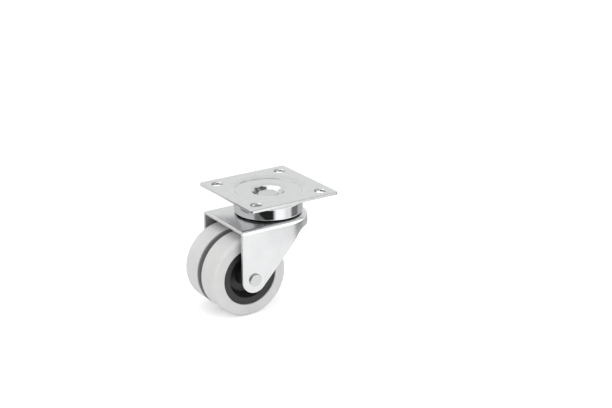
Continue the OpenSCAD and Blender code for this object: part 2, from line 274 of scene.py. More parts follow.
# Bearing cup: drawn from 1.8 mm steel in one stroke and polished bright. Its web is clamped under
# the plate, its top corner is the upper ball track, and its lower rim is rolled round.
cup_low, cup_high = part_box("bearing_cup")
cup_r = cup_high.x
cup_t = 1.8 * mm
cup_track_r = 2.6 * mm
cup_hole_r = dish_r + dish_edge_r * math.tan(dish_slope / 2) + 0.5 * mm
cup_top_z = cup_high.z
cup_rim_z = cup_low.z


def drawn_finish(name, shade, roughness, rings_per_metre):
    """Bright drawn steel with faint rings from the die, running round the upright axis."""
    material = bpy.data.materials.new(name)
    material.use_nodes = True
    nodes = material.node_tree.nodes
    link = material.node_tree.links.new
    shader = nodes["Principled BSDF"]
    shader.inputs["Metallic"].default_value = 1
    place = nodes.new("ShaderNodeTexCoord")
    stretch = nodes.new("ShaderNodeMapping")
    stretch.inputs["Scale"].default_value = (60, 60, rings_per_metre)
    link(place.outputs["Object"], stretch.inputs["Vector"])
    die_lines = nodes.new("ShaderNodeTexNoise")
    die_lines.inputs["Scale"].default_value = 1
    die_lines.inputs["Detail"].default_value = 4
    link(stretch.outputs["Vector"], die_lines.inputs["Vector"])
    tone = nodes.new("ShaderNodeValToRGB")
    tone.color_ramp.elements[0].position = 0.25
    tone.color_ramp.elements[0].color = [c * 0.94 for c in shade] + [1]
    tone.color_ramp.elements[1].position = 0.75
    tone.color_ramp.elements[1].color = list(shade) + [1]
    link(die_lines.outputs["Fac"], tone.inputs["Fac"])
    link(tone.outputs["Color"], shader.inputs["Base Color"])
    polish = nodes.new("ShaderNodeMapRange")
    polish.inputs["To Min"].default_value = roughness * 0.8
    polish.inputs["To Max"].default_value = roughness * 1.3
    link(die_lines.outputs["Fac"], polish.inputs["Value"])
    link(polish.outputs["Result"], shader.inputs["Roughness"])
    bump = nodes.new("ShaderNodeBump")
    bump.inputs["Strength"].default_value = 0.03
    bump.inputs["Distance"].default_value = 0.04 * mm
    link(die_lines.outputs["Fac"], bump.inputs["Height"])
    link(bump.outputs["Normal"], shader.inputs["Normal"])
    return material


polished_cup = drawn_finish("polished_cup", (0.68, 0.685, 0.695), 0.09, 4200)
cup = bmesh.new()
add_turned(cup, softened([
    (cup_hole_r, cup_top_z, 0.2 * mm),
    (cup_r, cup_top_z, cup_track_r + cup_t),
    (cup_r, cup_rim_z, cup_t * 0.49),
    (cup_r - cup_t, cup_rim_z, cup_t * 0.49),
    (cup_r - cup_t, cup_top_z - cup_t, cup_track_r),
    (cup_hole_r, cup_top_z - cup_t, 0.2 * mm),
], steps=10), 192)
finished("bearing_cup_shell", cup, polished_cup, "mount", ["bearing_cup"])

# King pin: a solid steel rivet, zinc plated. Its bevelled head sits in the plate's dish, and its
# lower end is pressed out under the lower race, which holds the whole swivel together.
pin_low, pin_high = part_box("king_pin")
pin_r = 5 * mm
pin_head_r = 6.6 * mm
pin_foot_r = 7.5 * mm
pin_bevel = 0.7 * mm
pin_soft = 0.15 * mm
race_low, race_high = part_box("lower_race")
pin_zinc = zinc_finish("pin_zinc", (0.60, 0.605, 0.61), 0.24, 260, (500, 500, 500))
pin = bmesh.new()
add_turned(pin, softened([
    (0, pin_high.z, 0),
    (pin_head_r - pin_bevel, pin_high.z, pin_soft),
    (pin_head_r, pin_high.z - pin_bevel, pin_soft),
    (pin_head_r, dish_floor_z, pin_soft),
    (pin_r, dish_floor_z, 0),
    (pin_r, race_low.z, 0),
    (pin_foot_r, race_low.z, pin_soft),
    (pin_foot_r, pin_low.z + pin_bevel, pin_soft),
    (pin_foot_r - pin_bevel, pin_low.z, pin_soft),
    (0, pin_low.z, 0),
], steps=4), 128)
finished("king_pin_rivet", pin, pin_zinc, "mount", ["king_pin"])

# Lower race: a turned and hardened steel ring, pressed on the king pin above its lower head. Its
# open groove carries the lower balls.
ball_steel = drawn_finish("hardened_steel", (0.62, 0.63, 0.655), 0.14, 2600)
race_r = race_high.x
race_bore_r = 5.05 * mm
lower_ball_low, lower_ball_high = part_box("lower_ball_15")
lower_pitch_r = (lower_ball_low.x + lower_ball_high.x) / 2
lower_pitch_z = (lower_ball_low.z + lower_ball_high.z) / 2
ball_play = 0.1 * mm
lower_track_r = (lower_ball_high.x - lower_ball_low.x) / 2 + ball_play


def track_arc(centre_r, centre_z, radius, first, last, steps):
    """Section of a ball track: points (radius, height) on an arc between two angles in degrees."""
    points = []
    for k in range(steps + 1):
        a = math.radians(first + (last - first) * k / steps)
        points.append((centre_r + radius * math.cos(a), centre_z + radius * math.sin(a)))
    return points


race_profile = [(race_r, race_low.z), (race_r, lower_pitch_z - lower_track_r)]
race_profile += track_arc(lower_pitch_r, lower_pitch_z, lower_track_r, 270, 180, 12)
race_profile += [(race_bore_r, race_high.z), (race_bore_r, race_low.z)]
race = bmesh.new()
add_turned(race, race_profile, 96)
finished("lower_race_ring", race, ball_steel, "mount", ["lower_race"])

# Swivel balls: two full rings of loose hardened steel balls, larger ones between the cup and the
# crown and smaller ones between the crown and the lower race. Nothing cages them.
upper_ball_low, upper_ball_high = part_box("upper_ball_20")
upper_pitch_r = (upper_ball_low.x + upper_ball_high.x) / 2
upper_pitch_z = (upper_ball_low.z + upper_ball_high.z) / 2
upper_ball_r = (upper_ball_high.z - upper_ball_low.z) / 2
lower_ball_r = (lower_ball_high.z - lower_ball_low.z) / 2


def ring_tree(name, part_type, part_inputs, material):
    """Geometry Nodes tree that sets copies of one part round the upright axis, at even angles."""
    tree = bpy.data.node_groups.new(name, "GeometryNodeTree")
    tree.interface.new_socket("Count", in_out="INPUT", socket_type="NodeSocketInt")
    tree.interface.new_socket("Ring radius", in_out="INPUT", socket_type="NodeSocketFloat")
    tree.interface.new_socket("Height", in_out="INPUT", socket_type="NodeSocketFloat")
    tree.interface.new_socket("Ring", in_out="OUTPUT", socket_type="NodeSocketGeometry")
    nodes = tree.nodes
    link = tree.links.new
    given = nodes.new("NodeGroupInput")
    index = nodes.new("GeometryNodeInputIndex")
    step = nodes.new("ShaderNodeMath")
    step.operation = "DIVIDE"
    step.inputs[0].default_value = 2 * math.pi
    link(given.outputs["Count"], step.inputs[1])
    angle = nodes.new("ShaderNodeMath")
    angle.operation = "MULTIPLY"
    link(index.outputs["Index"], angle.inputs[0])
    link(step.outputs["Value"], angle.inputs[1])
    where = nodes.new("ShaderNodeCombineXYZ")
    link(given.outputs["Height"], where.inputs["Z"])
    for axis, operation in (("X", "COSINE"), ("Y", "SINE")):
        wave = nodes.new("ShaderNodeMath")
        wave.operation = operation
        link(angle.outputs["Value"], wave.inputs[0])
        reach = nodes.new("ShaderNodeMath")
        reach.operation = "MULTIPLY"
        link(wave.outputs["Value"], reach.inputs[0])
        link(given.outputs["Ring radius"], reach.inputs[1])
        link(reach.outputs["Value"], where.inputs[axis])
    points = nodes.new("GeometryNodePoints")
    link(given.outputs["Count"], points.inputs["Count"])
    link(where.outputs["Vector"], points.inputs["Position"])
    turn = nodes.new("ShaderNodeCombineXYZ")
    link(angle.outputs["Value"], turn.inputs["Z"])
    part = nodes.new(part_type)
    for socket, value in part_inputs.items():
        part.inputs[socket].default_value = value
    copies = nodes.new("GeometryNodeInstanceOnPoints")
    link(points.outputs["Points"], copies.inputs["Points"])
    link(part.outputs["Mesh"], copies.inputs["Instance"])
    link(turn.outputs["Vector"], copies.inputs["Rotation"])
    real = nodes.new("GeometryNodeRealizeInstances")
    link(copies.outputs["Instances"], real.inputs["Geometry"])
    finish = nodes.new("GeometryNodeSetMaterial")
    finish.inputs["Material"].default_value = material
    link(real.outputs["Geometry"], finish.inputs["Geometry"])
    out = nodes.new("NodeGroupOutput")
    link(finish.outputs["Geometry"], out.inputs["Ring"])
    return tree


def ring_piece(name, tree, values, place=Matrix.Identity(4)):
    """Plain mesh object made by a ring tree, with its place in its mesh."""
    maker = bpy.data.objects.new(name + "_maker", bpy.data.meshes.new(name + "_maker"))
    bpy.context.scene.collection.objects.link(maker)
    modifier = maker.modifiers.new(name, "NODES")
    modifier.node_group = tree
    for item in tree.interface.items_tree:
        if item.in_out == "INPUT":
            modifier[item.identifier] = values[item.name]
    bpy.context.view_layer.update()
    made = bpy.data.meshes.new_from_object(maker.evaluated_get(bpy.context.evaluated_depsgraph_get()))
    bpy.data.objects.remove(maker)
    made.name = name
    made.transform(place)
    piece = bpy.data.objects.new(name, made)
    bpy.context.scene.collection.objects.link(piece)
    return piece


ball_rings = (
    ("upper_swivel_balls", "upper_balls", "upper_ball_", upper_pitch_r, upper_pitch_z, upper_ball_r),
    ("lower_swivel_balls", "lower_balls", "lower_ball_", lower_pitch_r, lower_pitch_z, lower_ball_r),
)
for name, body, stem, ring_r, height, ball_r in ball_rings:
    balls = [node for node in frame["nodes"] if node.startswith(stem)]
    ball = {"Segments": 32, "Rings": 16, "Radius": ball_r}
    tree = ring_tree(name, "GeometryNodeMeshUVSphere", ball, ball_steel)
    ring = ring_piece(name, tree, {"Count": len(balls), "Ring radius": ring_r, "Height": height})
    ring.data.polygons.foreach_set("use_smooth", [True] * len(ring.data.polygons))
    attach(ring, body)
    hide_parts(*balls)

# Fork: one piece of 2 mm sheet steel. The crown is drawn up in the middle for the ball tracks, the
# front is drawn down into a round skirt, and the two legs are folded down beside the wheels.
rivet_low, rivet_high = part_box("axle_rivet")
fork_half_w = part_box("fork")[1].y
fork_t = 2 * mm
cup_gap = 1 * mm
fork_top_z = cup_rim_z - cup_gap
fold_r = 2.8 * mm
nose_x = 1 * mm
leg_end_r = 8.3 * mm
leg_slope = math.radians(47)
skirt_h = 7 * mm
skirt_z = fork_top_z - skirt_h
skirt_blend_r = 6 * mm
cut_edge_r = 0.35 * mm
axle_x = (rivet_low.x + rivet_high.x) / 2
axle_z = (rivet_low.z + rivet_high.z) / 2
fork_rear_x = axle_x - leg_end_r
straight_l = nose_x - fork_rear_x
path_l = 2 * straight_l + math.pi * fork_half_w
fold_l = math.pi / 2 * fold_r
fold_z = fork_top_z - fold_r
crown_wall_r = 18.3 * mm
crown_foot_r = 0.9 * mm
shoulder_z = upper_pitch_z - upper_ball_r - ball_play
upper_track_r = upper_ball_r + ball_play
crown_play = 0.6 * mm
crown_z = plate_low.z - crown_play
crown_hole_r = 6 * mm


def fork_point(along, across, depth):
    """Point of the folded sheet: along its U-shaped path, across from the wall over the fold to the
    flat top, and down into the sheet from its outer face."""
    if across <= 0:
        out = fork_half_w - depth
        z = fold_z + across
    elif across < fold_l:
        out = fork_half_w - fold_r + (fold_r - depth) * math.cos(across / fold_r)
        z = fold_z + (fold_r - depth) * math.sin(across / fold_r)
    else:
        out = fork_half_w - fold_r - (across - fold_l)
        z = fork_top_z - depth
    if along <= straight_l:
        return Vector((fork_rear_x + along, out, z))
    if along >= path_l - straight_l:
        return Vector((fork_rear_x + path_l - along, -out, z))
    turn = math.pi / 2 - (along - straight_l) / fork_half_w
    return Vector((nose_x + out * math.cos(turn), out * math.sin(turn), z))


def path_at(x):
    """Distance along the path at which the left wall's outer face has this x."""
    if x <= nose_x:
        return x - fork_rear_x
    return straight_l + fork_half_w * math.asin(min(1, (x - nose_x) / fork_half_w))


def leg_outline():
    """Lower edge of the left wall from the rear to the nose: points (along, across) that lie one
    edge rounding inside the cut, each with its direction out of the sheet."""
    points = []
    inner_r = leg_end_r - cut_edge_r
    for k in range(29):
        a = (math.pi / 2 + leg_slope) * k / 28
        points.append((axle_x - inner_r * math.cos(a), axle_z - inner_r * math.sin(a),
                       -math.cos(a), -math.sin(a)))
    front = Vector((axle_x + leg_end_r * math.sin(leg_slope), axle_z - leg_end_r * math.cos(leg_slope)))
    corner_x = front.x + (skirt_z - front.y) / math.tan(leg_slope)
    blend = Vector((corner_x + skirt_blend_r * math.tan(leg_slope / 2), skirt_z - skirt_blend_r))
    blend_r = skirt_blend_r + cut_edge_r
    first = Vector(points[-1][:2])
    second = blend + blend_r * Vector((-math.sin(leg_slope), math.cos(leg_slope)))
    for k in range(1, 18):
        p = first.lerp(second, k / 18)
        points.append((p.x, p.y, math.sin(leg_slope), -math.cos(leg_slope)))
    for k in range(9):
        a = leg_slope * (1 - k / 8)
        points.append((blend.x - blend_r * math.sin(a), blend.y + blend_r * math.cos(a),
                       math.sin(a), -math.cos(a)))
    start = path_at(points[-1][0])
    outline = [(path_at(x), z - fold_z, dx, dz) for x, z, dx, dz in points]
    for k in range(1, 15):
        outline.append((start + (path_l / 2 - start) * k / 14, skirt_z + cut_edge_r - fold_z, 0, -1))
    return outline


left_half = leg_outline()
fork_outline = left_half + [(path_l - s, v, -ds, dv) for s, v, ds, dv in reversed(left_half[:-1])]
edge_steps = [math.radians(30 * k) for k in range(4)]
edge_section = [(cut_edge_r * math.sin(a), cut_edge_r * (1 - math.cos(a))) for a in edge_steps]
edge_section += [(off, fork_t - down) for off, down in reversed(edge_section)]
fold_rows = [fold_l * k / 10 for k in range(1, 11)] + [fold_l + flat_margin]
wall_shares = [0.97, 0.85, 0.7, 0.5, 0.3, 0.12, 0.03, 0]
fork = bmesh.new()
for depth in (0, fork_t):
    columns = []
    for along, low, _, _ in fork_outline:
        rows = [low] + [low * share for share in wall_shares] + fold_rows
        columns.append([fork.verts.new(fork_point(along, across, depth)) for across in rows])
    for one, two in zip(columns, columns[1:]):
        for k in range(len(one) - 1):
            fork.faces.new((one[k], two[k], two[k + 1], one[k + 1]))

# the cut edge runs down the front of both legs, round their ends, up the rear and across the top
rear_rows = [fork_outline[0][1] * share for share in wall_shares] + fold_rows
edge_places = list(fork_outline)
edge_places += [(fork_outline[-1][0], across, 1, 0) for across in rear_rows]
edge_places += [(fork_outline[0][0], across, -1, 0) for across in reversed(rear_rows)]
edge_rings = []
for along, across, d_along, d_across in edge_places:
    ring = []
    for off, depth in edge_section:
        face = fork_point(along, across, depth)
        if d_across:
            face = fork_point(along + d_along * off, across + d_across * off, depth)
        else:
            face.x -= off
        ring.append(fork.verts.new(face))
    edge_rings.append(ring)
for one, two in zip(edge_rings, edge_rings[1:] + edge_rings[:1]):
    for k in range(len(one) - 1):
        fork.faces.new((one[k], one[k + 1], two[k + 1], two[k])).material_index = 1

crown_profile = softened([
    (crown_wall_r + crown_foot_r + flat_margin, fork_top_z, 0),
    (crown_wall_r, fork_top_z, crown_foot_r),
    (crown_wall_r, shoulder_z, 0.5 * mm),
    (upper_pitch_r, shoulder_z, 0),
], closed=False)
crown_profile += track_arc(upper_pitch_r, upper_pitch_z, upper_track_r, 270, 189, 11)[1:]
crown_profile += [(crown_hole_r, crown_z), (crown_hole_r, crown_z - fork_t)]
crown_profile += track_arc(lower_pitch_r, lower_pitch_z, lower_track_r, 90, 0, 12)
crown_profile += softened([
    (lower_pitch_r + lower_track_r, shoulder_z - fork_t, 0),
    (crown_wall_r - fork_t, shoulder_z - fork_t, 1.2 * mm),
    (crown_wall_r - fork_t, fork_top_z - fork_t, 0.8 * mm),
    (crown_wall_r, fork_top_z - fork_t, 0),
], closed=False)
crown_rings = add_turned(fork, crown_profile, 128, closed=False)
bmesh.ops.remove_doubles(fork, verts=fork.verts, dist=1e-7)
fork.verts.ensure_lookup_table()


def flat_rim(depth):
    """Ring of the flat top's border vertices at this depth: along the folds and across the rear."""
    wanted = [fork_point(along, fold_rows[-1], depth) for along, _, _, _ in fork_outline]
    return [min(fork.verts, key=lambda v: (v.co - point).length_squared) for point in wanted]


add_fill(fork, [flat_rim(0), [v for v in crown_rings[0] if v.is_valid]])
add_fill(fork, [flat_rim(fork_t), [v for v in crown_rings[-1] if v.is_valid]])
fork_zinc = zinc_finish("fork_zinc", (0.66, 0.665, 0.67), 0.25, 120, (180, 900, 900))
cut_zinc = zinc_finish("cut_edge_zinc", (0.78, 0.785, 0.79), 0.5, 400, (900, 900, 900))
fork_piece = finished("folded_fork", fork, fork_zinc, "fork", ["fork"])
fork_piece.data.materials.append(cut_zinc)

# Axle: a zinc plated steel rivet through both legs, with flat heads, and a plain steel sleeve over
# it that keeps the legs apart and carries the wheels.
rivet_zinc = zinc_finish("rivet_zinc", (0.56, 0.565, 0.57), 0.24, 420, (700, 700, 700))
on_axle = Matrix.Translation((axle_x, 0, axle_z)) @ Matrix.Rotation(math.radians(-90), 4, "X")
rivet_r = 3 * mm
rivet_head_r = (rivet_high.x - rivet_low.x) / 2
rivet_end = rivet_high.y
rivet_bevel = 0.3 * mm
head_half = [(0, rivet_end, 0), (rivet_head_r - rivet_bevel, rivet_end, 0.12 * mm),
             (rivet_head_r, rivet_end - rivet_bevel, 0.12 * mm), (rivet_head_r, fork_half_w, 0),
             (rivet_r, fork_half_w, 0)]
rivet_section = head_half + [(r, -y, soft) for r, y, soft in reversed(head_half)]
rivet = bmesh.new()
add_turned(rivet, softened(rivet_section, steps=4), 96)
finished("axle_rivet_pin", rivet, rivet_zinc, "fork", ["axle_rivet"], on_axle)
sleeve_r = 4 * mm
sleeve_bore_r = 3.05 * mm
sleeve_end = fork_half_w - fork_t
sleeve = bmesh.new()
add_turned(sleeve, softened([
    (sleeve_r, sleeve_end, 0.2 * mm),
    (sleeve_r, -sleeve_end, 0.2 * mm),
    (sleeve_bore_r, -sleeve_end, 0.1 * mm),
    (sleeve_bore_r, sleeve_end, 0.1 * mm),
]), 64)
finished("axle_tube", sleeve, ball_steel, "fork", ["axle_sleeve"], on_axle)

# Tyres: light grey thermoplastic rubber, moulded on to the wheel centres. The tread is flat, with a
# rounded outer shoulder, and the mould leaves fine lines across it. The inner side faces, in the
# groove between the two wheels, carry painted shade.
tyre_low, tyre_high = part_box("left_tyre")
rim_low, rim_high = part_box("left_rim")
box_margin = 0.01 * mm
tyre_r = (tyre_high.x - tyre_low.x) / 2 - box_margin
tyre_in = tyre_low.y
tyre_out = tyre_high.y
tyre_shoulder_r = 2 * mm
tyre_edge_r = 0.6 * mm
rim_r = 17.8 * mm
rim_inset = 0.8 * mm
key_w = 6 * mm
key_h = 1.2 * mm
rim_in = tyre_in + rim_inset
rim_out = tyre_out - rim_inset
key_mid = (rim_in + rim_out) / 2
turned_round = Matrix.Translation((axle_x, 0, axle_z)) @ Matrix.Rotation(math.radians(90), 4, "X")
sides = (("left", "left_wheel", on_axle), ("right", "right_wheel", turned_round))


def axle_polar(material):
    """Nodes that give the angle round the axle and the distance from it, in metres."""
    nodes = material.node_tree.nodes
    link = material.node_tree.links.new
    place = nodes.new("ShaderNodeTexCoord")
    centre = nodes.new("ShaderNodeMapping")
    centre.inputs["Location"].default_value = (-axle_x, 0, -axle_z)
    link(place.outputs["Object"], centre.inputs["Vector"])
    parts = nodes.new("ShaderNodeSeparateXYZ")
    link(centre.outputs["Vector"], parts.inputs["Vector"])
    angle = nodes.new("ShaderNodeMath")
    angle.operation = "ARCTAN2"
    link(parts.outputs["Z"], angle.inputs[0])
    link(parts.outputs["X"], angle.inputs[1])
    flat = nodes.new("ShaderNodeCombineXYZ")
    link(parts.outputs["X"], flat.inputs["X"])
    link(parts.outputs["Z"], flat.inputs["Z"])
    reach = nodes.new("ShaderNodeVectorMath")
    reach.operation = "LENGTH"
    link(flat.outputs["Vector"], reach.inputs[0])
    return place, angle.outputs["Value"], reach.outputs["Value"]


tyre_grey = bpy.data.materials.new("grey_tyre_rubber")
tyre_grey.use_nodes = True
nodes = tyre_grey.node_tree.nodes
link = tyre_grey.node_tree.links.new
shader = nodes["Principled BSDF"]
shader.inputs["Specular IOR Level"].default_value = 0.35
place, angle, reach = axle_polar(tyre_grey)
blotch = nodes.new("ShaderNodeTexNoise")
blotch.inputs["Scale"].default_value = 110
blotch.inputs["Detail"].default_value = 5
link(place.outputs["Object"], blotch.inputs["Vector"])
tone = nodes.new("ShaderNodeValToRGB")
tone.color_ramp.elements[0].position = 0.3
tone.color_ramp.elements[0].color = (0.65, 0.65, 0.645, 1)
tone.color_ramp.elements[1].position = 0.7
tone.color_ramp.elements[1].color = (0.70, 0.70, 0.695, 1)
link(blotch.outputs["Fac"], tone.inputs["Fac"])
sideways = nodes.new("ShaderNodeSeparateXYZ")
link(place.outputs["Object"], sideways.inputs["Vector"])
from_middle = nodes.new("ShaderNodeMath")
from_middle.operation = "ABSOLUTE"
link(sideways.outputs["Y"], from_middle.inputs[0])
# painted shade: the tyre's colour falls to 0.42 on its inner side face, in the groove between the twin
# wheels where the near wheel shades it
painted_groove_shade = nodes.new("ShaderNodeMapRange")
painted_groove_shade.inputs["From Min"].default_value = tyre_in + 0.2 * mm
painted_groove_shade.inputs["From Max"].default_value = tyre_in + 0.8 * mm
painted_groove_shade.inputs["To Min"].default_value = 0.42
painted_groove_shade.inputs["To Max"].default_value = 1
link(from_middle.outputs["Value"], painted_groove_shade.inputs["Value"])
across_lines = nodes.new("ShaderNodeMath")
across_lines.operation = "MULTIPLY"
across_lines.inputs[1].default_value = 120
link(angle, across_lines.inputs[0])
ripple = nodes.new("ShaderNodeMath")
ripple.operation = "SINE"
link(across_lines.outputs["Value"], ripple.inputs[0])
on_tread = nodes.new("ShaderNodeMapRange")
on_tread.inputs["From Min"].default_value = tyre_r - tyre_shoulder_r
on_tread.inputs["From Max"].default_value = tyre_r - 0.3 * mm
link(reach, on_tread.inputs["Value"])
tread_lines = nodes.new("ShaderNodeMath")
tread_lines.operation = "MULTIPLY"
link(ripple.outputs["Value"], tread_lines.inputs[0])
link(on_tread.outputs["Result"], tread_lines.inputs[1])
shaded = nodes.new("ShaderNodeMath")
shaded.operation = "MULTIPLY_ADD"
shaded.inputs[1].default_value = 0.03
shaded.inputs[2].default_value = 0.97
link(tread_lines.outputs["Value"], shaded.inputs[0])
lines_and_groove_shade = nodes.new("ShaderNodeMath")
lines_and_groove_shade.operation = "MULTIPLY"
link(painted_groove_shade.outputs["Result"], lines_and_groove_shade.inputs[0])
link(shaded.outputs["Value"], lines_and_groove_shade.inputs[1])
# base colour: random tone times the tread lines times the painted shade on the inner side faces
tone_lines_and_painted_shade = nodes.new("ShaderNodeMix")
tone_lines_and_painted_shade.data_type = "RGBA"
tone_lines_and_painted_shade.blend_type = "MULTIPLY"
tone_lines_and_painted_shade.inputs["Factor"].default_value = 1
link(tone.outputs["Color"], tone_lines_and_painted_shade.inputs["A"])
link(lines_and_groove_shade.outputs["Value"], tone_lines_and_painted_shade.inputs["B"])
link(tone_lines_and_painted_shade.outputs["Result"], shader.inputs["Base Color"])
matt = nodes.new("ShaderNodeMapRange")
matt.inputs["To Min"].default_value = 0.5
matt.inputs["To Max"].default_value = 0.64
link(blotch.outputs["Fac"], matt.inputs["Value"])
link(matt.outputs["Result"], shader.inputs["Roughness"])
grain = nodes.new("ShaderNodeTexNoise")
grain.inputs["Scale"].default_value = 2600
grain.inputs["Detail"].default_value = 2
link(place.outputs["Object"], grain.inputs["Vector"])
relief = nodes.new("ShaderNodeMath")
relief.operation = "MULTIPLY_ADD"
relief.inputs[1].default_value = 0.35
link(tread_lines.outputs["Value"], relief.inputs[0])
link(grain.outputs["Fac"], relief.inputs[2])
bump = nodes.new("ShaderNodeBump")
bump.inputs["Strength"].default_value = 0.4
bump.inputs["Distance"].default_value = 0.06 * mm
link(relief.outputs["Value"], bump.inputs["Height"])
link(bump.outputs["Normal"], shader.inputs["Normal"])
tyre_section = softened([
    (tyre_r, tyre_out, tyre_shoulder_r),
    (rim_r, tyre_out, 0.35 * mm),
    (rim_r, key_mid + key_w / 2, 0),
    (rim_r + key_h, key_mid + key_w / 2, 0),
    (rim_r + key_h, key_mid - key_w / 2, 0),
    (rim_r, key_mid - key_w / 2, 0),
    (rim_r, tyre_in, 0.35 * mm),
    (tyre_r, tyre_in, tyre_edge_r),
])
for side, body, place_on_axle in sides:
    tyre = bmesh.new()
    add_turned(tyre, tyre_section, 192)
    finished(side + "_tyre_ring", tyre, tyre_grey, body, [side + "_tyre"], place_on_axle)

# Wheel centres: black moulded plastic. A satin face ring surrounds a glossy coned recess and the
# hub, and on the inner side six ribs tie the hub to the outer tube.
recess_r = 13.5 * mm
recess_floor_r = 11.5 * mm
recess_depth = 6.5 * mm
rim_wall = 2 * mm
hub_r = 6.5 * mm
hub_bore_r = 4.05 * mm
hub_in = rim_low.y
hub_out = rim_high.y
web_out = rim_out - recess_depth
web_in = web_out - rim_wall
rib_count = 6
rib_t = 1.6 * mm
rim_black = bpy.data.materials.new("black_rim_plastic")
rim_black.use_nodes = True
nodes = rim_black.node_tree.nodes
link = rim_black.node_tree.links.new
shader = nodes["Principled BSDF"]
shader.inputs["Specular IOR Level"].default_value = 0.38
place, _, reach = axle_polar(rim_black)
spread = nodes.new("ShaderNodeMapRange")
spread.interpolation_type = "SMOOTHSTEP"
spread.inputs["From Min"].default_value = recess_r - 0.3 * mm
spread.inputs["From Max"].default_value = recess_r + 0.5 * mm
spread.inputs["To Min"].default_value = 0.3
spread.inputs["To Max"].default_value = 0.42
link(reach, spread.inputs["Value"])
mottle = nodes.new("ShaderNodeTexNoise")
mottle.inputs["Scale"].default_value = 900
mottle.inputs["Detail"].default_value = 3
link(place.outputs["Object"], mottle.inputs["Vector"])
gloss = nodes.new("ShaderNodeMath")
gloss.operation = "MULTIPLY_ADD"
gloss.inputs[1].default_value = 0.08
link(mottle.outputs["Fac"], gloss.inputs[0])
link(spread.outputs["Result"], gloss.inputs[2])
link(gloss.outputs["Value"], shader.inputs["Roughness"])
tone = nodes.new("ShaderNodeValToRGB")
tone.color_ramp.elements[0].position = 0.3
tone.color_ramp.elements[0].color = (0.020, 0.020, 0.020, 1)
tone.color_ramp.elements[1].position = 0.7
tone.color_ramp.elements[1].color = (0.030, 0.030, 0.030, 1)
link(mottle.outputs["Fac"], tone.inputs["Fac"])
link(tone.outputs["Color"], shader.inputs["Base Color"])
bump = nodes.new("ShaderNodeBump")
bump.inputs["Strength"].default_value = 0.06
bump.inputs["Distance"].default_value = 0.03 * mm
link(mottle.outputs["Fac"], bump.inputs["Height"])
link(bump.outputs["Normal"], shader.inputs["Normal"])
rim_section = softened([
    (rim_r, rim_out, 0.25 * mm),
    (rim_r, key_mid + key_w / 2, 0),
    (rim_r + key_h, key_mid + key_w / 2, 0),
    (rim_r + key_h, key_mid - key_w / 2, 0),
    (rim_r, key_mid - key_w / 2, 0),
    (rim_r, rim_in, 0.25 * mm),
    (rim_r - rim_wall, rim_in, 0.3 * mm),
    (rim_r - rim_wall, rim_out - rim_wall, 0.1 * mm),
    (recess_r + rim_wall, rim_out - rim_wall, 0.1 * mm),
    (recess_floor_r + rim_wall, web_in, 1 * mm),
    (hub_r, web_in, 0.5 * mm),
    (hub_r, hub_in, 0.3 * mm),
    (hub_bore_r, hub_in, 0.2 * mm),
    (hub_bore_r, hub_out, 0.2 * mm),
    (hub_r, hub_out, 0.3 * mm),
    (hub_r, web_out, 0.6 * mm),
    (recess_floor_r, web_out, 1.2 * mm),
    (recess_r, rim_out, 0.4 * mm),
])
rib_in = hub_r - 0.4 * mm
rib_out = rim_r - rim_wall + 0.4 * mm
rib_h = web_in - rim_in + 0.4 * mm
rib = {"Size": (rib_out - rib_in, rib_t, rib_h)}
rib_tree = ring_tree("wheel_ribs", "GeometryNodeMeshCube", rib, rim_black)
rib_ring = {"Count": rib_count, "Ring radius": (rib_in + rib_out) / 2, "Height": rim_in + rib_h / 2}
for side, body, place_on_axle in sides:
    rim = bmesh.new()
    add_turned(rim, rim_section, 160)
    finished(side + "_wheel_centre", rim, rim_black, body, [side + "_rim"], place_on_axle)
    ribs = ring_piece(side + "_wheel_ribs", rib_tree, rib_ring, place_on_axle)
    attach(ribs, body)

# Studio: a white floor that keeps the castor's shadow, an even white surround, soft lamps, and the
# camera of the photograph, worked out from the plate's edges and the wheels in it.
scene = bpy.context.scene
scene.view_settings.view_transform = "Standard"
image_w = 612
image_h = 408
focal_px = 1343.39
origin_px = (268.04, 186.92)
camera_azimuth = math.radians(-32.082)
camera_elevation = math.radians(19.220)
camera_roll = math.radians(0.574)
camera_distance = 0.81114
camera_data = bpy.data.cameras.new("camera")
camera_data.sensor_width = 36
camera_data.lens = focal_px / image_w * camera_data.sensor_width
camera_data.clip_start = 0.01
camera_data.clip_end = 100
camera = bpy.data.objects.new("camera", camera_data)
scene.collection.objects.link(camera)
back = Vector((math.sin(camera_azimuth) * math.cos(camera_elevation),
               -math.cos(camera_azimuth) * math.cos(camera_elevation), math.sin(camera_elevation)))
aside = Vector((origin_px[0] - image_w / 2, image_h / 2 - origin_px[1], -focal_px))
camera.location = back * camera_distance
camera.rotation_mode = "QUATERNION"
camera.rotation_quaternion = ((-back).to_track_quat("-Z", "Y") @ Quaternion((0, 0, 1), -camera_roll)
                              @ aside.rotation_difference(Vector((0, 0, -1))))
scene.camera = camera

floor_z = cad_low.z
floor_half = 12
floor_corners = [(x * floor_half, y * floor_half, floor_z) for x, y in ((-1, -1), (1, -1), (1, 1), (-1, 1))]
floor_mesh = bpy.data.meshes.new("studio_floor")
floor_mesh.from_pydata(floor_corners, [], [(0, 1, 2, 3)])
floor = bpy.data.objects.new("studio_floor", floor_mesh)
scene.collection.objects.link(floor)
floor_white = bpy.data.materials.new("floor_white")
floor_white.use_nodes = True
floor_mesh.materials.append(floor_white)
nodes = floor_white.node_tree.nodes
link = floor_white.node_tree.links.new
shader = nodes["Principled BSDF"]
shader.inputs["Base Color"].default_value = (0.9, 0.9, 0.9, 1)
shader.inputs["Roughness"].default_value = 1
shader.inputs["Specular IOR Level"].default_value = 0
shader.inputs["Emission Color"].default_value = (1, 1, 1, 1)


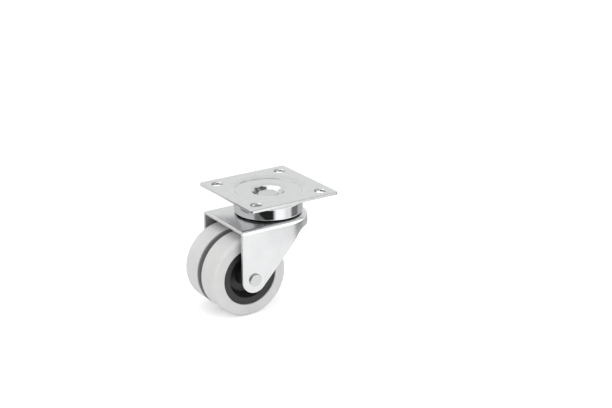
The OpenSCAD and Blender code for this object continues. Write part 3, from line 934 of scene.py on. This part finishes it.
def seen_white(tree):
    """Output that is 1 for what the camera and the bright metal see, and 0 for light on the castor."""
    path = tree.nodes.new("ShaderNodeLightPath")
    seen = tree.nodes.new("ShaderNodeMath")
    seen.operation = "MAXIMUM"
    tree.links.new(path.outputs["Is Camera Ray"], seen.inputs[0])
    tree.links.new(path.outputs["Is Glossy Ray"], seen.inputs[1])
    return seen.outputs["Value"]


lift = nodes.new("ShaderNodeMath")
lift.operation = "MULTIPLY"
lift.inputs[1].default_value = 0.35
link(seen_white(floor_white.node_tree), lift.inputs[0])
link(lift.outputs["Value"], shader.inputs["Emission Strength"])

world = bpy.data.worlds.new("white_surround")
scene.world = world
world.use_nodes = True
nodes = world.node_tree.nodes
link = world.node_tree.links.new
sky = nodes["Background"]
sky.inputs["Color"].default_value = (1, 1, 1, 1)
level = nodes.new("ShaderNodeMapRange")
level.inputs["To Min"].default_value = 0.8
level.inputs["To Max"].default_value = 1
link(seen_white(world.node_tree), level.inputs["Value"])
link(level.outputs["Result"], sky.inputs["Strength"])

# white, grey and dark cards round the castor, seen only in its bright metal: distance, azimuths in
# degrees from the camera to the right, heights over the floor, and shades at some azimuths; the
# two for the fork are clear, and light the fork alone
cards = (
    ("low_cards", 0.13, -180, 180, 0, 0.045,
     ((-180, 0.4), (-132, 0.4), (-124, 0.9), (-106, 0.9), (-98, 0.3), (-58, 0.3), (-48, 0.02), (14, 0.02),
      (24, 1.45), (46, 1.45), (58, 1.07), (72, 1.07), (80, 0.22), (102, 0.22), (112, 0.6))),
    ("fork_fill_card", 0.125, -52, 18, 0, 0.045, ((-52, 0.6), (18, 0.6))),
    ("front_grey_card", 0.4, -46, 14, 0.037, 0.27, ((-46, 0.28), (14, 0.28))),
    ("front_dark_card", 0.4, -46, 14, 0.27, 0.43, ((-46, 0.06), (14, 0.06))),
    ("fork_fold_card", 0.38, 50, 112, 0.07, 0.62, ((50, 1.7), (112, 1.7))),
    ("side_dark_card", 0.4, 88, 128, 0.15, 0.43, ((88, 0.14), (128, 0.2))),
    ("high_dark_card", 0.4, 16, 88, 0.33, 0.82, ((16, 0.08), (88, 0.08))),
    ("left_white_card", 0.4, -118, -48, 0.30, 0.765, ((-118, 1.9), (-48, 1.9))),
    ("front_white_card", 0.4, -48, 10, 0.43, 0.765, ((-48, 1.9), (10, 1.9))),
    ("overhead_white_card", 0.12, -90, 70, 0.30, 0.75, ((-90, 1.7), (70, 1.7))),
)
for name, card_r, first, last, low, high, stops in cards:
    steps = round((last - first) / 4)
    corners = []
    for k in range(steps + 1):
        a = math.radians(first + (last - first) * k / steps - 90) + camera_azimuth
        corners.append((card_r * math.cos(a), card_r * math.sin(a), floor_z + low))
        corners.append((card_r * math.cos(a), card_r * math.sin(a), floor_z + high))
    card_mesh = bpy.data.meshes.new(name)
    card_mesh.from_pydata(corners, [], [(2 * k, 2 * k + 2, 2 * k + 3, 2 * k + 1) for k in range(steps)])
    card = bpy.data.objects.new(name, card_mesh)
    scene.collection.objects.link(card)
    card.visible_camera = False
    card.visible_diffuse = False
    card.visible_shadow = False
    card.visible_transmission = False
    card_paper = bpy.data.materials.new(name)
    card_paper.use_nodes = True
    card_mesh.materials.append(card_paper)
    nodes = card_paper.node_tree.nodes
    link = card_paper.node_tree.links.new
    nodes.remove(nodes["Principled BSDF"])
    place = nodes.new("ShaderNodeTexCoord")
    to_camera = nodes.new("ShaderNodeMapping")
    to_camera.inputs["Rotation"].default_value = (0, 0, math.radians(90) - camera_azimuth)
    link(place.outputs["Object"], to_camera.inputs["Vector"])
    around = nodes.new("ShaderNodeTexGradient")
    around.gradient_type = "RADIAL"
    link(to_camera.outputs["Vector"], around.inputs["Vector"])
    shades = nodes.new("ShaderNodeValToRGB")
    ramp = shades.color_ramp
    while len(ramp.elements) < len(stops):
        ramp.elements.new(0.5)
    for element, (degrees, shade) in zip(ramp.elements, stops):
        element.position = 0.5 + degrees / 360
        element.color = (shade, shade, shade, 1)
    link(around.outputs["Fac"], shades.inputs["Fac"])
    glow = nodes.new("ShaderNodeEmission")
    link(shades.outputs["Color"], glow.inputs["Color"])
    surface = glow.outputs["Emission"]
    if name.startswith("fork"):
        clear = nodes.new("ShaderNodeBsdfTransparent")
        glow_and_clear = nodes.new("ShaderNodeAddShader")
        link(glow.outputs["Emission"], glow_and_clear.inputs[0])
        link(clear.outputs["BSDF"], glow_and_clear.inputs[1])
        surface = glow_and_clear.outputs["Shader"]
        lit_by_card = bpy.data.collections.new("lit_by_" + name)
        lit_by_card.objects.link(fork_piece)
        card.light_linking.receiver_collection = lit_by_card
    link(surface, nodes["Material Output"].inputs["Surface"])

lamps = (
    ("overhead_lamp", (0.06, -0.05, 0.85), 0.8, 1.8),
    ("left_lamp", (-0.80, -0.20, 0.40), 0.6, 1.05),
    ("front_lamp", (0.10, -0.85, 0.40), 0.6, 1.5),
)
for name, position, size, power in lamps:
    lamp_data = bpy.data.lights.new(name, "AREA")
    lamp_data.size = size
    lamp_data.energy = power
    lamp = bpy.data.objects.new(name, lamp_data)
    lamp.location = position
    lamp.rotation_mode = "QUATERNION"
    lamp.rotation_quaternion = (Vector((0, 0, floor_z / 2)) - Vector(position)).to_track_quat("-Z", "Y")
    scene.collection.objects.link(lamp)
    lamp.visible_glossy = False
